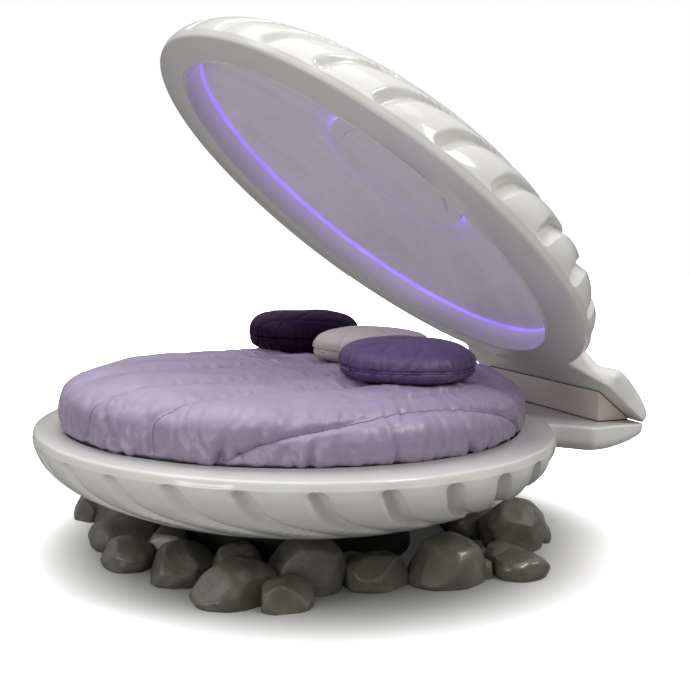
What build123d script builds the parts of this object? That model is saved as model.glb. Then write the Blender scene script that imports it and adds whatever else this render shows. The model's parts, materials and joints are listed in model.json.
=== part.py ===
from build123d import *
import os
from math import atan2, cos, degrees, pi, radians, sin, sqrt, tan

# A children's bed in the form of an open scallop: a fluted lower shell on a plinth hidden by
# river stones, a round mattress with a quilt, and the same shell again as a lid with a lit
# ceiling, held open by a wedge between the two pairs of ears.
# Millimetres. +Z up, +X to the right seen from the open front, +Y back to the ears.
# The origin is on the floor, under the middle of the lower shell.

os.makedirs("parts", exist_ok=True)

# Driving sizes of the two shells
rim_half_width = 975.0
rim_half_length = 919.0
shell_depth = 265.0
bowl_lift = 185.0
rim_height = bowl_lift + shell_depth
shell_wall = 14.0
rim_plate = 20.0
hinge_reach = 273.0
hinge_distance = rim_half_length + hinge_reach
lid_tilt = 38.0
overrun = 5.0

# Flutes cut round both shells
flutes_per_side = 14
flute_depth = 46.0
flute_slant = 12.0
flute_level_share = 0.05
flute_front_share = 0.16
# Depth below the rim, outline and flute depth, each as a share
bowl_shares = (
    (0.0, 0.99, 0.0),
    (0.035, 1.0, 0.0),
    (0.125, 0.999, 0.05),
    (0.25, 0.988, 0.8),
    (0.42, 0.958, 1.0),
    (0.62, 0.895, 0.75),
    (0.82, 0.785, 0.35),
    (1.0, 0.62, 0.0),
)
crown_shares = ((1.12, 0.42, 0.0), (1.19, 0.12, 0.0))
room_shares = ((0.42, 0.893), (0.62, 0.838), (0.82, 0.738))
room_floor_share = 0.6
room_top_share = 0.9
crown_room_shares = (1.08, 0.4)

# Ears, measured from the line where the two rims would meet
ear_half_width = 501.0
ear_waist_half_width = 487.0
ear_end_half_width = 492.0
neck_half_width = 392.0
neck_reach = 340.0
flare_reach = 236.0
waist_reach = 114.0
ear_root = 480.0
ear_thickness = 90.0
ear_corner = 58.0
ear_under_round = 44.0
ear_edge_round = 9.0
ear_gap = 2.0
# Outer side of the ears, which curves in to a thin end at the hinge line
keel_reach = 190.0
keel_end = 36.0

# Wedge that holds the lid open, with its gaskets, steel brackets and bolts
wedge_half_width = 395.0
wedge_reach = 146.0
wedge_tail = 12.0
wedge_wall = 12.0
wedge_heel = 60.0
gasket = 3.0
bracket_width = 90.0
bracket_spacing = 280.0
bracket_plate = 8.0
bracket_clearance = 6.0
bolt_radius = 6.0
bolt_clearance = 0.3
bolt_length = 64.0
bolt_head_radius = 9.5
bolt_head_height = 8.0
bolt_spread = 27.0
bolt_reach = 97.0

# Lid recess, its lit cove, ceiling and medallion
lid_band_side = 212.0
lid_band_end = 113.0
recess_half_width = rim_half_width - lid_band_side
recess_half_length = rim_half_length - lid_band_end
recess_depth = 84.0
recess_wall = 14.0
cove_height = 15.0
cove_width = 10.0
strip_thickness = 3.0
ceiling_rise = 133.0
ceiling_plate = 8.0
# Height and outline of the domed ceiling, as shares of its rise and of the recess
ceiling_shares = ((0.0, 1.0), (0.3, 0.89), (0.58, 0.75), (0.82, 0.6), (0.95, 0.5), (1.0, 0.45))
medallion_radius = 300.0
medallion_plate = 14.0
medallion_gap = 9.0
medallion_band = 62.0
medallion_joint = 1.5
medallion_crown = 6.0
medallion_round = 5.0
medallion_disc_round = 10.0
spacer_radius = 8.0
spacer_count = 6
halo_width = 8.0
halo_height = 5.0
driver_length = 190.0
driver_width = 62.0
driver_height = 30.0
driver_round = 4.0
gland_radius = 10.0
gland_flange_radius = 16.0
gland_flange = 6.0
gland_nose = 14.0
gland_bore = 4.0
gland_depth = 30.0
gland_reach = 215.0

# Mattress, quilt and the slatted base inside the lower shell
well_gap = 8.0
deck_band_side = 183.0
deck_band_end = 109.0
quilt_half_width = rim_half_width - deck_band_side
quilt_half_length = rim_half_length - deck_band_end
mattress_sink = 70.0
mattress_height = 200.0
mattress_inset = 24.0
mattress_round = 26.0
quilt_height = 192.0
quilt_tuck = 28.0
soft_gap = 0.3
# Height above the rim and outline of the quilt, as shares of its height and of its half sizes
quilt_shares = (
    (0.0, 1.0),
    (0.08, 1.013),
    (0.39, 1.018),
    (0.6, 1.006),
    (0.78, 0.965),
    (0.9, 0.89),
    (0.958, 0.76),
    (0.99, 0.5),
    (1.0, 0.2),
)
quilt_tuck_share = 0.985
seam_radius = 7.0
seam_lift = 2.5
# Each sewn line on the quilt: its two ends and the point it bows through
seam_shares = (
    ((-0.3, -0.8), (0.62, -0.1), (0.46, 0.7)),
    ((-0.52, -0.66), (0.34, -0.02), (0.24, 0.8)),
    ((-0.68, -0.5), (0.08, 0.04), (0.0, 0.84)),
    ((-0.78, -0.3), (-0.18, 0.1), (-0.24, 0.8)),
    ((-0.83, -0.04), (-0.45, 0.14), (-0.46, 0.7)),
)
frame_gap = 12.0
frame_band = 60.0
frame_height = 30.0
slat_width = 80.0
slat_thickness = 12.0
slat_end_reach = 153.5
slat_count = 10
slat_end_gap = 8.0
bearer_thickness = 30.0
bearer_place = 230.0
bearer_foot_share = 0.52
bearer_end = 14.0
rail_width = 60.0

# Plinth under the shell, its half sizes as shares of the shell's
plinth_width_share = 0.441
plinth_length_share = 0.468
plinth_board = 18.0
plinth_inset = 10.0
plinth_bolt_radius = 5.0
plinth_bolt_head_radius = 9.0
plinth_bolt_head = 7.0
plinth_bolt_count = 8
plinth_bolt_inset = 60.0
plinth_bolt_turn = 22.5

# Round cushions on the quilt
cushion_radius = 236.0
cushion_seam_share = 0.4
cushion_pinch = 7.0
cushion_foot_share = 0.62
cushion_crown_shares = ((0.55, 0.93), (0.88, 0.72))
cushion_under_shares = ((0.9, 0.12),)
cushion_rest_steps = 24
# The middle one's place as shares of the quilt's half sizes, then each one's place beside it
# and its thickness as shares of the radius
cushion_middle_share = (-0.107, 0.422)
cushion_shares = {
    "cushion_dark": (-1.98, -0.5, 0.74),
    "cushion_cream": (0.0, 0.0, 0.57),
    "cushion_violet": (2.16, -0.41, 0.593),
}

# Stones round the plinth: place, half sizes and height as shares, then the turn in degrees
stone_gap = 0.6
stone_stretch = 1.061
stone_rise = 2.4324
stone_level_shares = ((0.0, 0.86), (0.25, 1.0), (0.6, 0.93), (0.85, 0.68), (1.0, 0.3))
stone_shares = {
    "stone_01": (0.536, -0.41, 0.15, 0.118, 0.29, 68, 0.02),
    "stone_02": (0.52, -0.147, 0.135, 0.112, 0.375, 78, -0.01),
    "stone_03": (0.62, 0.345, 0.135, 0.106, 0.345, 80, 0.01),
    "stone_04": (0.36, 0.79, 0.135, 0.112, 0.41, 70, 0.0),
    "stone_05": (0.32, -0.53, 0.114, 0.115, 0.28, 60, -0.02),
    "stone_06": (0.645, 0.63, 0.105, 0.078, 0.2, 58, 0.01),
    "stone_07": (0.567, 0.096, 0.115, 0.095, 0.235, 84, 0.01),
    "stone_08": (0.67, -0.272, 0.095, 0.07, 0.21, 66, 0.0),
    "stone_09": (-0.14, -0.65, 0.13, 0.145, 0.225, 66, 0.02),
    "stone_10": (0.1, -0.675, 0.092, 0.12, 0.22, 60, 0.0),
    "stone_11": (0.1, -0.525, 0.11, 0.12, 0.3, 60, 0.0),
    "stone_12": (-0.4, -0.6, 0.11, 0.15, 0.26, 52, 0.0),
    "stone_13": (-0.525, -0.725, 0.07, 0.085, 0.235, 50, 0.0),
    "stone_14": (-0.615, -0.42, 0.15, 0.11, 0.3, -58, 0.01),
    "stone_15": (-0.68, -0.16, 0.145, 0.11, 0.34, -82, -0.01),
    "stone_16": (-0.65, 0.12, 0.145, 0.105, 0.27, -98, 0.0),
    "stone_17": (-0.59, 0.39, 0.15, 0.112, 0.36, -116, 0.01),
    "stone_18": (-0.42, 0.62, 0.15, 0.11, 0.3, -146, 0.0),
    "stone_19": (-0.145, 0.715, 0.15, 0.11, 0.38, -170, 0.01),
    "stone_20": (0.13, 0.72, 0.145, 0.108, 0.28, 4, 0.0),
    "stone_21": (0.375, -0.35, 0.088, 0.08, 0.27, 60, 0.0),
    "stone_22": (0.462, 0.03, 0.075, 0.06, 0.2, 84, 0.0),
    "stone_23": (0.5, 0.66, 0.085, 0.085, 0.14, 40, 0.0),
    "stone_24": (-0.275, -0.445, 0.08, 0.075, 0.2, 30, 0.0),
    "stone_25": (0.62, 0.49, 0.05, 0.05, 0.13, 30, 0.0),
    "stone_26": (0.35, 0.93, 0.04, 0.036, 0.15, 20, 0.0),
}

lower_rim = Plane.XY.offset(rim_height)
lid_centre = (0, hinge_distance * (1 - cos(radians(lid_tilt))),
              rim_height + hinge_distance * sin(radians(lid_tilt)))
lid_normal = (0, sin(radians(lid_tilt)), cos(radians(lid_tilt)))
lid_rim = Plane(origin=lid_centre, x_dir=(1, 0, 0), z_dir=lid_normal)
bowl_floor = bowl_lift
room_floor = shell_depth - shell_wall


# Section of a shell at one depth: flutes as arcs from ridge to ridge, deeper towards the hinge
def shell_section(plan_share, flute_share, depth_share):
    steps = 4 * flutes_per_side
    points = []
    for step in range(steps):
        turn = 2 * pi * step / steps
        turn += radians(flute_slant) * (depth_share - flute_level_share) * sin(turn)
        growth = flute_front_share + (1 - flute_front_share) * sin(turn / 2) ** 2
        cut = flute_depth / rim_half_width * growth * flute_share * (step % 2)
        share = plan_share - cut
        points.append((rim_half_width * share * sin(turn), -rim_half_length * share * cos(turn)))
    points.append(points[0])
    with BuildSketch() as section:
        with BuildLine():
            for step in range(0, steps, 2):
                ThreePointArc(points[step], points[step + 1], points[step + 2])
        make_face()
    return section.sketch


# Fluted body of a shell, from its rim outwards
def shell_body(rim, side, sections):
    with BuildPart() as body:
        for depth_share, plan_share, flute_share in sections:
            with BuildSketch(rim.offset(side * shell_depth * depth_share)):
                add(shell_section(plan_share, flute_share, depth_share))
        loft(ruled=True)
    return body.part


# Solid through ellipses, each given by its depth from the rim and its two half sizes
def ellipse_body(rim, side, sections):
    with BuildPart() as body:
        for depth, half_width, half_length in sections:
            with BuildSketch(rim.offset(side * depth)):
                Ellipse(half_width, half_length)
        loft(ruled=True)
    return body.part


# Hollow inside a shell, between its rim plate and its skin
def shell_room(rim, side, end_sections):
    sections = [(rim_plate, room_top_share)]
    sections += [(shell_depth * depth, plan) for depth, plan in room_shares]
    sections += end_sections
    sized = [(depth, rim_half_width * plan, rim_half_length * plan) for depth, plan in sections]
    return ellipse_body(rim, side, sized)


# Pair of ears joined across the back, as one slab that curves in to a thin end at the hinge
def ear_slab(rim, side):
    sides = (
        (neck_half_width, hinge_distance - ear_root),
        (neck_half_width, hinge_distance - neck_reach),
        (ear_half_width, hinge_distance - flare_reach),
        (ear_waist_half_width, hinge_distance - waist_reach),
        (ear_end_half_width, hinge_distance - ear_gap),
    )
    keel_top = (hinge_distance - keel_reach, side * ear_thickness)
    keel_tip = (hinge_distance - ear_gap, side * keel_end)
    with BuildPart() as slab:
        with BuildSketch(rim) as plan:
            with BuildLine():
                Polyline(*sides, *[(-x, y) for x, y in reversed(sides)], close=True)
            make_face()
            corners = plan.vertices().filter_by_position(
                Axis.Y, hinge_distance - neck_reach, hinge_distance - flare_reach)
            fillet(corners, ear_corner)
        extrude(amount=side * ear_thickness)
        outer_face = slab.faces().sort_by(Axis(rim.origin, rim.z_dir))[-1 if side > 0 else 0]
        fillet(outer_face.edges(), ear_under_round)
        rim_face = slab.faces().sort_by(Axis(rim.origin, rim.z_dir))[0 if side > 0 else -1]
        fillet(rim_face.edges(), ear_edge_round)
        with BuildSketch(Plane(origin=rim.origin, x_dir=rim.y_dir, z_dir=rim.x_dir)):
            with BuildLine():
                TangentArc(keel_top, keel_tip, tangent=(1, 0))
                Polyline(keel_tip, (hinge_distance, side * keel_end),
                         (hinge_distance, side * (ear_thickness + overrun)),
                         (hinge_distance - keel_reach, side * (ear_thickness + overrun)), keel_top)
            make_face()
        extrude(amount=ear_half_width + overrun, both=True, mode=Mode.SUBTRACT)
    return slab.part


bracket_places = [bracket_spacing * step for step in (-1, 0, 1)]
bolt_places = [x + side * bolt_spread for x in bracket_places for side in (-1, 1)]
upper_bolt_reach = bolt_reach / cos(radians(lid_tilt))
bolt_hole_depth = bolt_length - bracket_plate + overrun
plinth_half_width = rim_half_width * plinth_width_share
plinth_half_length = rim_half_length * plinth_length_share
plinth_bolt_turns = [radians(plinth_bolt_turn + 360 * step / plinth_bolt_count)
                     for step in range(plinth_bolt_count)]
plinth_bolt_places = [((plinth_half_width - plinth_bolt_inset) * cos(turn),
                       (plinth_half_length - plinth_bolt_inset) * sin(turn))
                      for turn in plinth_bolt_turns]

# Lower shell: fluted skin, flat rim, round well for the mattress and flat bottom
lower_body = shell_body(lower_rim, -1, bowl_shares)
lower_ears = ear_slab(lower_rim, -1)
lower_room = shell_room(lower_rim, -1, [(room_floor, room_floor_share)])
with BuildPart() as lower_hollow:
    add(lower_room)
    with BuildSketch(lower_rim):
        Ellipse(quilt_half_width + well_gap, quilt_half_length + well_gap)
    extrude(amount=-(rim_plate + overrun))
    with BuildSketch(lower_rim):
        with Locations([(x, hinge_distance - bolt_reach) for x in bolt_places]):
            Circle(bolt_radius + bolt_clearance)
    extrude(amount=-bolt_hole_depth)
    with BuildSketch(lower_rim.offset(-ear_thickness)):
        with Locations((0, hinge_distance - gland_reach)):
            Circle(gland_radius + bolt_clearance)
    extrude(amount=gland_depth + overrun)
    with BuildSketch(Plane.XY.offset(bowl_floor)):
        with Locations(plinth_bolt_places):
            Circle(plinth_bolt_radius + bolt_clearance)
    extrude(amount=shell_wall + overrun)
with BuildPart() as lower_shell:
    add(lower_body)
    add(lower_ears, clean=False)
    add(lower_hollow.part, clean=False, mode=Mode.SUBTRACT)
lower_shell.part.label = "lower_shell"
export_step(lower_shell.part, "parts/lower_shell.step")

# Upper shell: the same skin as a lid, with a raised crown and a walled recess
upper_body = shell_body(lid_rim, 1, bowl_shares + crown_shares)
upper_ears = ear_slab(lid_rim, 1)
crown_depth, crown_plan = crown_room_shares
upper_room = shell_room(lid_rim, 1, [(room_floor, room_floor_share),
                                     (shell_depth * crown_depth, crown_plan)])
strip_outer = cove_width + strip_thickness
with BuildPart() as upper_hollow:
    add(upper_room)
    with BuildSketch(lid_rim):
        Ellipse(recess_half_width + recess_wall, recess_half_length + recess_wall)
    extrude(amount=recess_depth, mode=Mode.SUBTRACT)
    with BuildSketch(lid_rim):
        Ellipse(recess_half_width, recess_half_length)
    extrude(amount=recess_depth)
    with BuildSketch(lid_rim.offset(recess_depth)):
        Ellipse(recess_half_width + strip_outer + soft_gap,
                recess_half_length + strip_outer + soft_gap)
    extrude(amount=cove_height + ceiling_plate)
    with BuildSketch(lid_rim):
        with Locations([(x, hinge_distance - upper_bolt_reach) for x in bolt_places]):
            Circle(bolt_radius + bolt_clearance)
    extrude(amount=bolt_hole_depth)
with BuildPart() as upper_shell:
    add(upper_body)
    add(upper_ears, clean=False)
    add(upper_hollow.part, clean=False, mode=Mode.SUBTRACT)
upper_shell.part.label = "upper_shell"
export_step(upper_shell.part, "parts/upper_shell.step")


# Height of the lid's rim plane above the lower rim, at a distance in front of the hinge line
def mouth(reach):
    return reach * tan(radians(lid_tilt))


gasket_rise = gasket / cos(radians(lid_tilt))

# Wedge: a hollow moulding with a plain front face, open above and below
with BuildPart() as hinge_wedge:
    with BuildSketch(Plane.YZ):
        with BuildLine():
            Polyline(
                (hinge_distance - wedge_reach, rim_height + gasket),
                (hinge_distance - wedge_reach, rim_height + mouth(wedge_reach) - gasket_rise),
                (hinge_distance - wedge_tail, rim_height + mouth(wedge_tail) - gasket_rise),
                (hinge_distance - wedge_tail, rim_height + gasket),
                close=True,
            )
        make_face()
    extrude(amount=wedge_half_width, both=True)
    with BuildSketch(lower_rim):
        with BuildLine():
            Polyline(
                (wedge_half_width - wedge_wall, hinge_distance - wedge_reach + wedge_wall),
                (wedge_half_width - wedge_wall, hinge_distance - wedge_heel),
                (-wedge_half_width + wedge_wall, hinge_distance - wedge_heel),
                (-wedge_half_width + wedge_wall, hinge_distance - wedge_reach + wedge_wall),
                close=True,
            )
        make_face()
    extrude(amount=mouth(wedge_reach), mode=Mode.SUBTRACT)
hinge_wedge.part.label = "hinge_wedge"
export_step(hinge_wedge.part, "parts/hinge_wedge.step")


# Gasket frame on a rim plane, between two distances in front of the hinge line
def gasket_frame(rim, side, front, back, window_front, window_back):
    window_half_width = wedge_half_width - wedge_wall
    with BuildPart() as frame:
        with BuildSketch(rim):
            with Locations((0, hinge_distance - (front + back) / 2)):
                Rectangle(2 * wedge_half_width, front - back)
            with Locations((0, hinge_distance - (window_front + window_back) / 2)):
                Rectangle(2 * window_half_width, window_front - window_back, mode=Mode.SUBTRACT)
        extrude(amount=side * gasket)
    return frame.part


# The same distance measured along the lid's rim plane, at the gasket's lower side
def along_lid(reach):
    return (reach - gasket * sin(radians(lid_tilt))) / cos(radians(lid_tilt))


gasket_lower = gasket_frame(lower_rim, 1, wedge_reach, wedge_tail,
                            wedge_reach - wedge_wall, wedge_heel)
gasket_lower.label = "gasket_lower"
export_step(gasket_lower, "parts/gasket_lower.step")

gasket_upper = gasket_frame(lid_rim, -1, along_lid(wedge_reach), along_lid(wedge_tail),
                            along_lid(wedge_reach - wedge_wall), along_lid(wedge_heel))
gasket_upper.label = "gasket_upper"
export_step(gasket_upper, "parts/gasket_upper.step")

# Steel brackets inside the wedge: two foot plates joined by a web
bracket_front = wedge_reach - wedge_wall - bracket_clearance
bracket_back = wedge_heel + bracket_clearance
plate_rise = bracket_plate / cos(radians(lid_tilt))
for name, place in zip(("left", "centre", "right"), bracket_places):
    with BuildPart() as bracket:
        with BuildSketch(Plane.YZ.offset(place)):
            with BuildLine():
                Polyline(
                    (hinge_distance - bracket_front, rim_height),
                    (hinge_distance - bracket_front, rim_height + bracket_plate),
                    (hinge_distance - bracket_back, rim_height + bracket_plate),
                    (hinge_distance - bracket_back, rim_height),
                    close=True,
                )
            make_face()
            with BuildLine():
                Polyline(
                    (hinge_distance - bracket_front, rim_height + mouth(bracket_front)),
                    (hinge_distance - bracket_front, rim_height + mouth(bracket_front) - plate_rise),
                    (hinge_distance - bracket_back, rim_height + mouth(bracket_back) - plate_rise),
                    (hinge_distance - bracket_back, rim_height + mouth(bracket_back)),
                    close=True,
                )
            make_face()
        extrude(amount=bracket_width / 2, both=True)
        with BuildSketch(Plane.YZ.offset(place)):
            with BuildLine():
                Polyline(
                    (hinge_distance - bracket_front, rim_height),
                    (hinge_distance - bracket_front, rim_height + mouth(bracket_front)),
                    (hinge_distance - bracket_back, rim_height + mouth(bracket_back)),
                    (hinge_distance - bracket_back, rim_height),
                    close=True,
                )
            make_face()
        extrude(amount=bracket_plate / 2, both=True)
        with BuildSketch(lower_rim):
            with Locations([(place + side * bolt_spread, hinge_distance - bolt_reach)
                            for side in (-1, 1)]):
                Circle(bolt_radius + bolt_clearance)
        extrude(amount=bracket_plate + overrun, mode=Mode.SUBTRACT)
        with BuildSketch(lid_rim):
            with Locations([(place + side * bolt_spread, hinge_distance - upper_bolt_reach)
                            for side in (-1, 1)]):
                Circle(bolt_radius + bolt_clearance)
        extrude(amount=-(bracket_plate + overrun), mode=Mode.SUBTRACT)
    bracket.part.label = f"bracket_{name}"
    export_step(bracket.part, f"parts/bracket_{name}.step")


# Hexagon bolts with heads on the bracket plates and shanks in the ears
def ear_bolts(rim, side, reach):
    places = [(x, hinge_distance - reach) for x in bolt_places]
    with BuildPart() as bolts:
        with BuildSketch(rim.offset(-side * bracket_plate)):
            with Locations(places):
                RegularPolygon(bolt_head_radius, 6)
        extrude(amount=-side * bolt_head_height)
        with BuildSketch(rim.offset(-side * bracket_plate)):
            with Locations(places):
                Circle(bolt_radius)
        extrude(amount=side * bolt_length)
    return bolts.part


ear_bolts_lower = ear_bolts(lower_rim, -1, bolt_reach)
ear_bolts_lower.label = "ear_bolts_lower"
export_step(ear_bolts_lower, "parts/ear_bolts_lower.step")

ear_bolts_upper = ear_bolts(lid_rim, 1, upper_bolt_reach)
ear_bolts_upper.label = "ear_bolts_upper"
export_step(ear_bolts_upper, "parts/ear_bolts_upper.step")

# Cove light: a diffuser ring on the recess wall, with its strip behind it
with BuildPart() as cove_diffuser:
    with BuildSketch(lid_rim.offset(recess_depth)):
        Ellipse(recess_half_width + cove_width, recess_half_length + cove_width)
        Ellipse(recess_half_width, recess_half_length, mode=Mode.SUBTRACT)
    extrude(amount=cove_height)
cove_diffuser.part.label = "cove_diffuser"
export_step(cove_diffuser.part, "parts/cove_diffuser.step")

with BuildPart() as cove_light_strip:
    with BuildSketch(lid_rim.offset(recess_depth)):
        Ellipse(recess_half_width + strip_outer, recess_half_length + strip_outer)
        Ellipse(recess_half_width + cove_width, recess_half_length + cove_width,
                mode=Mode.SUBTRACT)
    extrude(amount=cove_height - strip_thickness)
cove_light_strip.part.label = "cove_light_strip"
export_step(cove_light_strip.part, "parts/cove_light_strip.step")

# Domed ceiling panel, resting on the cove ring
ceiling_base = recess_depth + cove_height
ceiling_flat = ceiling_base + ceiling_rise
inner_ceiling = [(ceiling_base + ceiling_rise * rise, recess_half_width * plan,
                  recess_half_length * plan) for rise, plan in ceiling_shares]
outer_ceiling = [(depth + ceiling_plate, half_width + cove_width, half_length + cove_width)
                 for depth, half_width, half_length in inner_ceiling]
outer_ceiling.insert(0, (ceiling_base, recess_half_width + cove_width,
                         recess_half_length + cove_width))
ceiling_outside = ellipse_body(lid_rim, 1, outer_ceiling)
ceiling_inside = ellipse_body(lid_rim, 1, inner_ceiling)
with BuildPart() as ceiling_panel:
    add(ceiling_outside)
    add(ceiling_inside, mode=Mode.SUBTRACT)
ceiling_panel.part.label = "ceiling_panel"
export_step(ceiling_panel.part, "parts/ceiling_panel.step")

# Medallion: a flat ring and a raised disc, on spacers in the middle of the ceiling
medallion_back = ceiling_flat - medallion_gap
medallion_front = medallion_back - medallion_plate
band_inner = medallion_radius - medallion_band
with BuildPart() as medallion_ring:
    with BuildSketch(lid_rim.offset(medallion_front)):
        Circle(medallion_radius)
        Circle(band_inner, mode=Mode.SUBTRACT)
    extrude(amount=medallion_plate)
    front_edges = medallion_ring.edges().sort_by(Axis(lid_rim.origin, lid_rim.z_dir))[:2]
    fillet(front_edges, medallion_round)
medallion_ring.part.label = "medallion_ring"
export_step(medallion_ring.part, "parts/medallion_ring.step")

disc_radius = band_inner - medallion_joint
with BuildPart() as medallion_disc:
    with BuildSketch(lid_rim.offset(medallion_back)):
        Circle(disc_radius)
    extrude(amount=-(medallion_plate + medallion_crown))
    disc_front = medallion_disc.faces().sort_by(Axis(lid_rim.origin, lid_rim.z_dir))[0]
    fillet(disc_front.edges(), medallion_disc_round)
medallion_disc.part.label = "medallion_disc"
export_step(medallion_disc.part, "parts/medallion_disc.step")

spacer_rings = [(medallion_radius - medallion_band / 2, spacer_count, 0),
                (disc_radius - medallion_band / 2, spacer_count // 2, 1)]
with BuildPart() as medallion_spacers:
    with BuildSketch(lid_rim.offset(medallion_back)):
        for ring, count, shift in spacer_rings:
            with PolarLocations(ring, count, start_angle=shift * 180 / spacer_count):
                Circle(spacer_radius)
    extrude(amount=medallion_gap)
medallion_spacers.part.label = "medallion_spacers"
export_step(medallion_spacers.part, "parts/medallion_spacers.step")

with BuildPart() as halo_light_strip:
    with BuildSketch(lid_rim.offset(medallion_back)):
        Circle(medallion_radius - halo_width)
        Circle(medallion_radius - 2 * halo_width, mode=Mode.SUBTRACT)
    extrude(amount=halo_height)
halo_light_strip.part.label = "halo_light_strip"
export_step(halo_light_strip.part, "parts/halo_light_strip.step")

# Light driver on top of the ceiling panel, and the cable gland under the lower ears
with BuildPart() as light_driver:
    with BuildSketch(lid_rim.offset(ceiling_flat + ceiling_plate)) as driver_plan:
        Rectangle(driver_length, driver_width)
        fillet(driver_plan.vertices(), driver_round)
    extrude(amount=driver_height)
light_driver.part.label = "light_driver"
export_step(light_driver.part, "parts/light_driver.step")

gland_section = Plane(origin=(0, hinge_distance - gland_reach, rim_height - ear_thickness),
                      x_dir=(1, 0, 0), z_dir=(0, 1, 0))
with BuildPart() as cable_gland:
    with BuildSketch(gland_section):
        with BuildLine():
            Polyline(
                (gland_bore, -gland_depth),
                (gland_radius, -gland_depth),
                (gland_radius, 0),
                (gland_flange_radius, 0),
                (gland_flange_radius, gland_flange),
                (gland_radius, gland_flange),
                (gland_radius - strip_thickness, gland_flange + gland_nose),
                (gland_bore, gland_flange + gland_nose),
                close=True,
            )
        make_face()
    revolve(axis=Axis(gland_section.origin, (0, 0, 1)))
cable_gland.part.label = "cable_gland"
export_step(cable_gland.part, "parts/cable_gland.step")

# Slatted base inside the lower shell: two bearers, a ring, a middle rail and the slats
frame_half_width = quilt_half_width + well_gap - frame_gap
frame_half_length = quilt_half_length + well_gap - frame_gap
frame_top = mattress_sink + slat_thickness
frame_bottom = frame_top + frame_height
with BuildPart() as frame_ring:
    with BuildSketch(lower_rim.offset(-frame_bottom)):
        Ellipse(frame_half_width, frame_half_length)
        Ellipse(frame_half_width - frame_band, frame_half_length - frame_band, mode=Mode.SUBTRACT)
    extrude(amount=frame_height)
frame_ring.part.label = "frame_ring"
export_step(frame_ring.part, "parts/frame_ring.step")

rail_half_length = frame_half_length - frame_band - soft_gap
with BuildPart() as middle_rail:
    with BuildSketch(lower_rim.offset(-frame_bottom)):
        Rectangle(rail_width, 2 * rail_half_length)
        Ellipse(frame_half_width - frame_band - soft_gap, frame_half_length - frame_band - soft_gap,
                mode=Mode.INTERSECT)
    extrude(amount=frame_height)
middle_rail.part.label = "middle_rail"
export_step(middle_rail.part, "parts/middle_rail.step")

bearer_edge = (bearer_place + bearer_thickness / 2) / frame_half_length
bearer_top = frame_half_width * sqrt(1 - bearer_edge ** 2) - bearer_end
for name, place in (("front", -bearer_place), ("back", bearer_place)):
    with BuildPart() as bearer:
        with BuildSketch(Plane.XZ.offset(-place)):
            with BuildLine():
                Polyline(
                    (-rim_half_width * bearer_foot_share, rim_height - room_floor),
                    (rim_half_width * bearer_foot_share, rim_height - room_floor),
                    (bearer_top, rim_height - frame_bottom),
                    (-bearer_top, rim_height - frame_bottom),
                    close=True,
                )
            make_face()
        extrude(amount=bearer_thickness / 2, both=True)
    bearer.part.label = f"bearer_{name}"
    export_step(bearer.part, f"parts/bearer_{name}.step")

slat_pitch = 2 * (frame_half_length - slat_end_reach) / (slat_count - 1)
with BuildPart() as slats:
    for step in range(slat_count):
        place = slat_pitch * (step - (slat_count - 1) / 2)
        edge = (abs(place) + slat_width / 2) / (frame_half_length - slat_end_gap)
        slat_half_length = (frame_half_width - slat_end_gap) * sqrt(1 - edge ** 2)
        with BuildSketch(lower_rim.offset(-frame_top)):
            with Locations((0, place)):
                Rectangle(2 * slat_half_length, slat_width)
        extrude(amount=slat_thickness)
slats.part.label = "slats"
export_step(slats.part, "parts/slats.step")

# Mattress core: a round foam block standing on the slats
core_top = mattress_height - mattress_sink
with BuildPart() as mattress_core:
    with BuildSketch(lower_rim.offset(-mattress_sink)):
        Ellipse(quilt_half_width - mattress_inset, quilt_half_length - mattress_inset)
    extrude(amount=mattress_height)
    fillet(mattress_core.faces().sort_by(Axis.Z)[-1].edges(), mattress_round)
mattress_core.part.label = "mattress_core"
export_step(mattress_core.part, "parts/mattress_core.step")


# Outer form of the quilt, grown by a clearance where another piece is cut to lie on it
def quilt_form(growth):
    sections = [(-quilt_tuck, quilt_half_width * quilt_tuck_share,
                 quilt_half_length * quilt_tuck_share)]
    sections += [(quilt_height * rise + growth, quilt_half_width * plan + growth,
                  quilt_half_length * plan + growth) for rise, plan in quilt_shares]
    return ellipse_body(lower_rim, 1, sections)


# Point on the quilt's top, from its place as shares of the half sizes
def quilt_point(x, y):
    share = sqrt(x ** 2 + y ** 2)
    for (low, outer), (high, inner) in zip(quilt_shares, quilt_shares[1:]):
        if inner <= share <= outer:
            height = low + (high - low) * (outer - share) / (outer - inner)
            return quilt_half_width * x, quilt_half_length * y, quilt_height * height
    return quilt_half_width * x, quilt_half_length * y, quilt_height


# Quilt: a puffed cover over the mattress, tucked into the well, with sewn channels on top
quilt_body = quilt_form(0)
seams = []
for ends in seam_shares:
    with BuildPart() as seam:
        with BuildLine(lower_rim.offset(seam_lift)) as seam_line:
            ThreePointArc(*[quilt_point(x, y) for x, y in ends])
        with BuildSketch(seam_line.line ^ 0):
            Circle(seam_radius)
        sweep()
    seams.append(seam.part)
with BuildPart() as quilt:
    add(quilt_body)
    add(seams, mode=Mode.SUBTRACT)
    with BuildSketch(lower_rim.offset(-quilt_tuck - overrun)):
        Ellipse(quilt_half_width - mattress_inset + soft_gap,
                quilt_half_length - mattress_inset + soft_gap)
    extrude(amount=core_top + quilt_tuck + overrun + soft_gap, mode=Mode.SUBTRACT)
quilt.part.label = "quilt"
export_step(quilt.part, "parts/quilt.step")


# Height of the quilt under a round foot, above the rim
def rest_height(x, y, foot):
    turns = [2 * pi * step / cushion_rest_steps for step in range(cushion_rest_steps)]
    points = [((x + foot * cos(turn)) / quilt_half_width, (y + foot * sin(turn)) / quilt_half_length)
              for turn in turns]
    return max(quilt_point(*point)[2] for point in points)


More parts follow.
